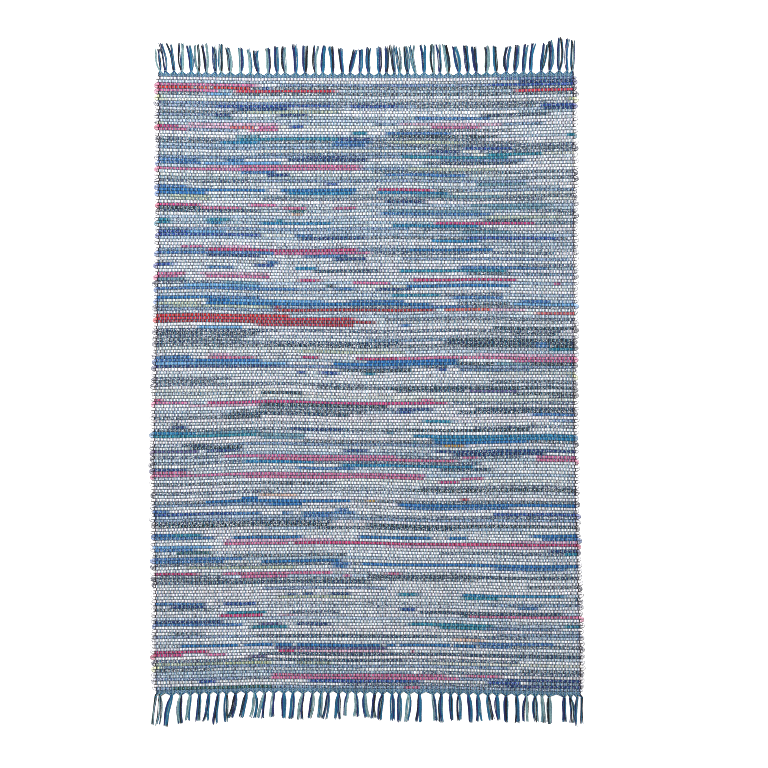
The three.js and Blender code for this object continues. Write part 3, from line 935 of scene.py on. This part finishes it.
def make_rags():
    points, quads, bake = [], [], []
    tints, prints, places, phases, faces = [], [], [], [], []
    edge_rows = {}
    for pick in range(PICKS):
        middle = float(pick_middle(pick, 0.0))
        left, right = float(outer_warp("left", middle)), float(outer_warp("right", middle))
        plain, coloured = plain_stretches(pick), coloured_stretches(pick)
        stations = pick_stations(left, right, cloth_changes(plain, coloured))
        swell = chance.uniform(0, 2 * math.pi)
        thick = chance.uniform(-0.12, 0.1)
        shades = [(s, e, n, chance.uniform(0.9, 1.08), chance.uniform(-0.02, 0.02)) for s, e, n in plain]
        shades += [(s, e, n, chance.uniform(0.94, 1.06), 0.0) for s, e, n in coloured]
        path = pick_path(pick, left, right, stations, swell, thick)

        first = len(points)
        travelled = 0.0
        for i, (x, y, half, tall) in enumerate(path):
            points += section_ring((x, y), tangent(path, i), half, tall, STRIP_SECTION)
            if i:
                travelled += math.hypot(x - path[i - 1][0], y - path[i - 1][1])
            here = [row for row in shades if row[0] <= x < row[1]][-1]
            turning = not left - 1 <= x <= right + 1
            phase = (x - left) / (right - left) * (WARPS - 1) + pick + HEADING_PICKS
            if turning:
                # Both halves of a loop are one strip: the far pick's.
                side = "left" if x < left else "right"
                edge_rows.setdefault((side, pick), here)
                if loop_turn(side, PICKS - 1 - pick) == 1:
                    here = edge_rows[(side, pick - 1)]
                edge_phase = (0 if x < left else WARPS - 1) + pick + HEADING_PICKS
                phase = 2 * math.floor(edge_phase / 2) + 1
            _, _, name, shade, warmth = here
            cloth = CLOTHS[name]
            red, green, blue = linear(cloth.red, cloth.green, cloth.blue)
            tint = np.array([red * shade + warmth, green * shade, blue * shade - warmth])
            if turning:
                share = LOOP_WHITE_SHARE if name in Zone._fields else LOOP_FADE_SHARE
                tint = tint + (LOOP_WHITE - tint) * share
            tints += [tint] * SECTION_SIDES
            prints += [(cloth.lines, cloth.spots, cloth.blotches)] * SECTION_SIDES
            places += [(travelled + PRINT_SHIFT * pick, around, pick) for around in AROUND]
            phases += [phase] * SECTION_SIDES
            faces += list(FACE)
        rings = len(path)
        quads.append(tube_faces(first, rings))
        across, along = [row[0] for row in path], [row[1] for row in path]
        steps = np.concatenate([[0], np.cumsum(np.hypot(np.diff(across), np.diff(along)))])
        bake += tube_map(steps / steps[-1], 0.004, 0.99, (pick + 0.06) / PICKS, (pick + 0.94) / PICKS)
        for ring, flip in ((first, False), (first + SECTION_SIDES * (rings - 1), True)):
            for cap in CAPS:
                corners = [ring + c for c in cap]
                quads.append(np.array([corners[::-1] if flip else corners]))
            cell = 0.992 if flip else 0.0005
            for k in range(len(CAPS)):
                low, high = (pick + 0.1 + 0.4 * k) / PICKS, (pick + 0.45 + 0.4 * k) / PICKS
                bake += map_cell(cell, cell + 0.003, low, high)
    return make_piece("rags", points, np.concatenate(quads), rag_material(), bake, [
        ("warp_place", "FLOAT", phases),
        ("rag_face", "FLOAT", faces),
        ("rag_print", "FLOAT_VECTOR", prints),
        ("rag_place", "FLOAT_VECTOR", places),
        ("rag_tint", "FLOAT_COLOR", tints),
    ])


def make_yarn(name, points, quads, material, bake, painted_shades, places):
    attributes = [("yarn_painted_shade", "FLOAT", painted_shades), ("yarn_place", "FLOAT_VECTOR", places)]
    return make_piece(name, points, quads, material, bake, attributes)


# The headings of fine yarn.


def make_heading(name, side, material):
    points, quads, bake, places, painted_shades = [], [], [], [], []
    inward = -SIDES[side][1]
    stations = np.linspace(-1, 1, HEADING_STATIONS)
    for pick in range(HEADING_PICKS):
        inset = (pick + 0.5) * HEADING_WIDTH / HEADING_PICKS
        first = len(points)
        along_end = float(cloth_end(side, 0)) + inward * inset
        left, right = float(outer_warp("left", along_end)), float(outer_warp("right", along_end))
        centre, half = (left + right) / 2, (right - left) / 2 + 0.9
        wander = chance.uniform(0, 6)
        path = []
        for station in stations:
            x = centre + half * station
            waver = 0.12 * math.sin(x / 23 + wander)
            path.append((x, float(cloth_end(side, x)) + inward * inset + waver))
        for i, (x, y) in enumerate(path):
            points += section_ring((x, y), tangent(path, i), HEADING_HALF_WIDTH, 1.0, HEADING_SECTION)
            places += [(x, around, pick + 5) for around in (-2, -1, 0, 1, 2, 3)]
            # Painted shade: darker at the sides and underneath, none on top.
            painted_shades += [1.0, 0.4, 0.0, 0.4, 1.0, 0.5]
        quads.append(tube_faces(first, len(path)))
        low = (pick + 0.1) / HEADING_PICKS
        bake += tube_map((stations + 1) / 2, 0.01, 0.99, low, low + 0.8 / HEADING_PICKS)
    return make_yarn(name, points, np.concatenate(quads), material, bake, painted_shades, places)


# The warp: floats over and under each pick, and the fringe yarns past the headings.


def crossings():
    """The lines between picks, from the far end to the near one: insets, or the pick below."""
    insets = [i * HEADING_WIDTH / HEADING_PICKS for i in range(HEADING_PICKS + 1)]
    lines = [("far", inset) for inset in insets]
    lines += [("field", pick) for pick in range(PICKS + 1)]
    return lines + [("near", inset) for inset in insets[::-1]]


def line_along(line, across):
    kind, amount = line
    if kind == "far":
        return cloth_end("far", across) - amount
    if kind == "near":
        return cloth_end("near", across) + amount
    return weave_line(amount, across)


def warp_points(numbers):
    """Where each warp of a piece crosses each line between picks."""
    lines = crossings()
    across = np.zeros((len(numbers), len(lines)))
    along = np.zeros_like(across)
    wander = np.random.default_rng(int(numbers[0]) + 7).uniform(0, 2 * math.pi, (len(numbers), 3))
    slack = np.random.default_rng(int(numbers[0]) + 70).uniform(-WARP_SLACK, WARP_SLACK, across.shape)
    for i, line in enumerate(lines):
        middle = line_along(line, 0.0)
        x = warp_across(numbers, middle)
        for term, (depth, length) in enumerate(WARP_WANDER):
            x = x + depth * np.sin(middle / length + wander[:, term])
        x = x + slack[:, i]
        across[:, i] = x
        along[:, i] = line_along(line, x)
    return across, along


def threaded(number):
    """Which of the warp pieces a warp belongs to. The outermost ones are black on both sides."""
    if number < EDGE_WARPS or number >= WARPS - EDGE_WARPS:
        return 0
    return int(number) % WARP_COLOURS


def assign_tassels(tassels, roots_across):
    """The tassel that each warp is tied into: the nearest, but a corner's two tassels share evenly."""
    roots = np.array([t.root for t in tassels], float)
    owner = np.abs(roots_across[:, None] - roots[None, :]).argmin(1)
    last = len(tassels) - 1
    left_pair, right_pair = np.where(owner <= 1)[0], np.where(owner >= last - 1)[0]
    owner[left_pair[:len(left_pair) // 2]] = 0
    owner[right_pair[-(len(right_pair) // 2):]] = last
    return owner


def lay_tassel(members, look):
    """Each yarn of a tassel as (number, place from -1 to 1, level): the chosen ones on top."""
    left_over = [int(number) for number in members]
    top_size = len(left_over) // 4
    laid = []
    for half, letter in enumerate(look):
        choice = YARN_CHOICE[letter]
        left_over.sort(key=lambda n: choice.index(THREADING[threaded(n)]) + 0.9 * chance.random())
        chosen, left_over = left_over[:top_size], left_over[top_size:]
        for i, number in enumerate(chosen):
            laid.append((number, (i + 0.5) / max(top_size, 1) - 1 + half, 1))
    for i, number in enumerate(left_over):
        laid.append((number, 2 * (i + 0.5) / len(left_over) - 1, 0))
    return laid


def fringe_paths():
    """The centre line of each warp's two loose ends."""
    numbers = np.arange(WARPS)
    paths = {}
    for side, (tassels, outward) in SIDES.items():
        start_x = warp_across(numbers, cloth_end(side, 0.0))
        owner = assign_tassels(tassels, start_x)
        for index, tassel in enumerate(tassels):
            members = np.where(owner == index)[0]
            edge = float(cloth_end(side, tassel.root))
            sway = chance.uniform(-TASSEL_SWAY, TASSEL_SWAY)
            fullness = min(1.0, len(members) / FULL_TASSEL)
            sways = [sway + fullness * chance.uniform(-STRAND_SWAY, STRAND_SWAY) for _ in range(2)]
            tips = [chance.uniform(-TIP_SWAY, TIP_SWAY) for _ in range(2)]
            for number, own, level in lay_tassel(members, tassel.look):
                count = max(len(members) - 1, 1)
                near_own = 2 * (int(np.where(members == number)[0][0]) / count) - 1
                x0 = float(start_x[number])
                y0 = float(cloth_end(side, x0))
                length = tassel.length * (LONGEST_YARN[side] - FRINGE_RAGGEDNESS * chance.random())
                bend = chance.uniform(-1.6, 1.6)
                half = TASSEL_HALF_WIDTH + TASSEL_SPREAD_SHARE * tassel.spread
                half *= fullness
                gathered = x0 + (tassel.root + 2.6 * near_own - x0) * 0.72
                path = [
                    (x0, y0 - outward * 1.2, 2.4),
                    (gathered, edge + outward * 3.4, 2.9 + 0.5 * level),
                    (tassel.root + 2.9 * own, edge + outward * KNOT_OUT, 2.0 + 1.1 * level),
                    (tassel.root + 3.9 * own, edge + outward * KNOT_END, 1.6 + 1.2 * level),
                ]
                strand = int(own > 0)
                for share in (0.2, 0.4, 0.6, 0.8, 1.0):
                    out = KNOT_END + (length - KNOT_END) * share
                    x = tassel.root + tassel.lean * share + half * own * (0.9 + 0.1 * share)
                    x += bend * math.sin(math.pi * share * 1.3) + sways[strand] * math.sin(math.pi * share)
                    x += tips[strand] * share ** 2.5
                    path.append((x, edge + outward * out, 1.12 + 1.3 * level * (1 - 0.3 * share)))
                paths[(side, int(number))] = np.array(path)
    return paths


def float_arrays(across, along, numbers):
    """Points and quads of all floats, above and below, of one piece's warps."""
    count, lines = across.shape
    crossing = [i for i in range(lines - 1) if i not in (HEADING_PICKS, lines - 2 - HEADING_PICKS)]
    points, quads, bake, places = [], [], [], []
    first = 0
    for order, i in enumerate(crossing):
        fine = order < HEADING_PICKS or order >= len(crossing) - HEADING_PICKS
        shape = FLOAT_OVER_YARN if fine else FLOAT_OVER_RAG
        x0, x1 = across[:, i], across[:, i + 1]
        y0, y1 = along[:, i], along[:, i + 1]
        above = (numbers + order) % 2 == 0
        for top in (True, False):
            chosen = np.where(above if top else ~above)[0]
            if not len(chosen):
                continue
            at_edge = (numbers[chosen] < EDGE_WARPS) | (numbers[chosen] >= WARPS - EDGE_WARPS)
            wider = np.where(at_edge, EDGE_YARN_SHARE, 1.0)
            ends = [(x0[chosen], y0[chosen]), None, (x1[chosen], y1[chosen])]
            ends[1] = ((x0 + x1)[chosen] / 2, (y0 + y1)[chosen] / 2)
            rows = []
            for step, (x, y) in enumerate(ends):
                crest = step == 1
                if top:
                    half = YARN_HALF_WIDTH["crest" if crest else "groove"] * wider
                    height = shape["crest"] if crest else shape["groove"]
                    rows += [
                        (x - half, y, height - YARN_SHOULDER, -1.0),
                        (x, y, height, 0.0),
                        (x + half, y, height - YARN_SHOULDER, 1.0),
                    ]
                else:
                    half = YARN_HALF_WIDTH["under"] * wider
                    height = shape["under"] if crest else shape["under_groove"]
                    rows += [(x + half, y, height, 1.0), (x - half, y, height, -1.0)]
            per = len(rows)
            wide = 3 if top else 2
            block = np.zeros((len(chosen), per, 3))
            place = np.zeros((len(chosen), per, 3))
            for r, (x, y, z, a) in enumerate(rows):
                block[:, r, 0], block[:, r, 1], block[:, r, 2] = x, y, z
                place[:, r, 0], place[:, r, 1], place[:, r, 2] = y, a, numbers[chosen] % YARN_SERIES
            points.append(block.reshape(-1, 3))
            places.append(place.reshape(-1, 3))
            base = first + np.arange(len(chosen)) * per
            local = []
            for step in range(2):
                for s in range(wide - 1):
                    a = step * wide + s
                    local.append((a + wide, a + wide + 1, a + 1, a))
            quads.append((base[:, None, None] + np.array(local)[None]).reshape(-1, 4))
            first += len(chosen) * per
            # The map: one cell for each crossing, most of it for a float above.
            low_u, high_u = (order + 0.08) / len(crossing), (order + 0.92) / len(crossing)
            inset = np.array([0.06, 0.62] if top else [0.7, 0.94])
            for low_v, high_v in (chosen[:, None] + inset) / count * FLOAT_MAP_SHARE:
                for u0, u1 in map_steps(low_u, high_u - low_u, 2):
                    for v0, v1 in map_steps(low_v, high_v - low_v, wide - 1):
                        bake += map_cell(u0, u1, v0, v1, 1)
    return points, quads, bake, places, first


def yarn_painted_shades(places):
    """Painted shade of a yarn from its place round: darker at its sides and its underside, none on top."""
    return np.minimum(np.abs(places[:, 1]), 1.0) * SIDE_PAINTED_SHADE


def yarn_ring(centre, way, radius):
    """Four points round a fringe yarn."""
    aside = square_to(way)
    x, y, z = centre
    return [
        (x - aside[0] * radius, y - aside[1] * radius, z),
        (x, y, z - radius),
        (x + aside[0] * radius, y + aside[1] * radius, z),
        (x, y, z + radius),
    ]


def make_warp(name, colour_index, material, loose):
    numbers = np.array([n for n in range(WARPS) if threaded(n) == colour_index])
    across, along = warp_points(numbers)
    points, quads, bake, places, first = float_arrays(across, along, numbers)
    for side_index, side in enumerate(SIDES):
        for row, number in enumerate(numbers):
            path = loose[(side, int(number))]
            rings, marks = [], []
            for i, centre in enumerate(path):
                radius = FRINGE_YARN * (YARN_TIP_SHARE if i == len(path) - 1 else 1.0)
                rings += yarn_ring(centre, tangent(path, i), radius)
                marks += [(abs(centre[1]), a, number % YARN_SERIES) for a in (-1.0, -2.0, 1.0, 0.0)]
            points.append(np.array(rings))
            places.append(np.array(marks))
            quads.append(tube_faces(first, len(path), YARN_SIDES)[:, ::-1])
            ends = first + np.arange(YARN_SIDES)
            quads.append(np.array([ends, ends[::-1] + YARN_SIDES * (len(path) - 1)]))
            # Its place in the map, above the cells of the floats.
            low_u, high_u = (row + 0.1) / len(numbers), (row + 0.9) / len(numbers)
            low_v = FRINGE_MAP_START + FRINGE_MAP_PITCH * side_index
            for v0, v1 in map_steps(low_v, FRINGE_MAP_SIZE, len(path) - 1):
                for u0, u1 in map_steps(low_u, high_u - low_u, YARN_SIDES):
                    bake += map_cell(u0, u1, v0, v1, 1)
            for k in range(2):
                corner = low_v + 0.067 + 0.003 * k
                bake += map_cell(low_u, high_u, corner, corner + 0.002)
            first += YARN_SIDES * len(path)
    places = np.concatenate(places)
    return make_yarn(
        name, np.concatenate(points), np.concatenate(quads), material, bake, yarn_painted_shades(places), places
    )


def make_knots(name, side, turn_number, material):
    """One of the two crossing turns of yarn in the overhand knot of each of a side's tassels."""
    points, quads, bake, places = [], [], [], []
    tassels, outward = SIDES[side]
    shift = -0.9 if turn_number == 0 else 0.9
    upward = np.array([0.0, 1.0, 0.0])
    columns = math.ceil(math.sqrt(len(tassels)))
    size = 0.9 / columns
    for index, tassel in enumerate(tassels):
        first = len(points)
        tilt = (0.55 if index % 2 else -0.5) * (1 if turn_number == 0 else -1)
        edge = float(cloth_end(side, tassel.root))
        for step in range(KNOT_STEPS):
            turn = 2 * math.pi * step / KNOT_STEPS
            x, z = KNOT_HALF_WIDTH * math.cos(turn), KNOT_HALF_HEIGHT * math.sin(turn)
            y = KNOT_OUT + shift + tilt * x * 0.55
            centre = np.array([tassel.root + x, edge + outward * y, KNOT_MIDDLE + z])
            out = np.array([math.cos(turn), 0.0, math.sin(turn)])
            for s in range(YARN_SIDES):
                angle = 2 * math.pi * s / YARN_SIDES
                points.append(centre + KNOT_YARN * (math.cos(angle) * out + math.sin(angle) * upward))
                places.append((3.7 * turn, s, index + 31 * turn_number))
            here, after = first + step * YARN_SIDES, first + (step + 1) % KNOT_STEPS * YARN_SIDES
            for s in range(YARN_SIDES):
                other = (s + 1) % YARN_SIDES
                quads.append((here + s, here + other, after + other, after + s))
        for v0, v1 in map_steps((index // columns) / columns, size, KNOT_STEPS):
            for u0, u1 in map_steps((index % columns) / columns, size, YARN_SIDES):
                bake += map_cell(u0, u1, v0, v1)
    # Painted shade on the inner side of each turn of the knot.
    painted_shades = [0.2 + 0.6 * (place[1] == 2) for place in places]
    return make_yarn(name, points, quads, material, bake, painted_shades, places)


rags = make_rags()
yarn_materials = {name: yarn_material("yarn_" + name, yarn) for name, yarn in YARNS.items()}
loose_ends = fringe_paths()
warps = [
    make_warp(name, index, yarn_materials[THREADING[index]], loose_ends)
    for index, name in enumerate(WARP_PIECES)
]
headings = [make_heading("heading_" + side, side, yarn_materials["denim"]) for side in SIDES]
knots = [
    make_knots(row.name, row.side, row.turn, yarn_materials[row.yarn]) for row in KNOTS
]

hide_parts("rug_field")
for piece in warps:
    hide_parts("rug_field", "fringe_far", "fringe_near")
for piece, side in zip(headings, SIDES):
    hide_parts("fringe_" + side)
for piece, row in zip(knots, KNOTS):
    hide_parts("fringe_" + row.side)

# Studio: a pale floor, one large soft light and an even sky.
bpy.ops.mesh.primitive_plane_add(size=40, location=(0, 0, 0))
floor = bpy.context.active_object
floor.name = "studio_floor"
floor.data.materials.append(floor_material())

lamp_data = bpy.data.lights.new("softbox", "AREA")
lamp_data.shape = "RECTANGLE"
lamp_data.size = 3.0
lamp_data.size_y = 2.0
lamp_data.energy = 234
lamp = bpy.data.objects.new("softbox", lamp_data)
lamp.location = (-0.8, 1.5, 3.5)
lamp.rotation_euler = (-0.4, -0.2, 0.0)
bpy.context.scene.collection.objects.link(lamp)

world = bpy.data.worlds.new("studio")
world.use_nodes = True
world.node_tree.nodes["Background"].inputs["Color"].default_value = (1.0, 1.0, 1.0, 1.0)
world.node_tree.nodes["Background"].inputs["Strength"].default_value = 0.85
bpy.context.scene.world = world
bpy.context.scene.cycles.filter_width = 1.0
bpy.context.scene.view_settings.view_transform = "Standard"

# Camera: straight overhead, on the middle of the picture.
VIEW_MIDDLE = (0.0467, -0.0035)
VIEW_WIDTH = 2.138
LENS = 90
SENSOR = 36
camera_data = bpy.data.cameras.new("camera")
camera_data.lens = LENS
camera_data.sensor_width = SENSOR
camera_data.clip_end = 50
camera = bpy.data.objects.new("camera", camera_data)
camera.location = (*VIEW_MIDDLE, VIEW_WIDTH * LENS / SENSOR)
bpy.context.scene.collection.objects.link(camera)
bpy.context.scene.camera = camera
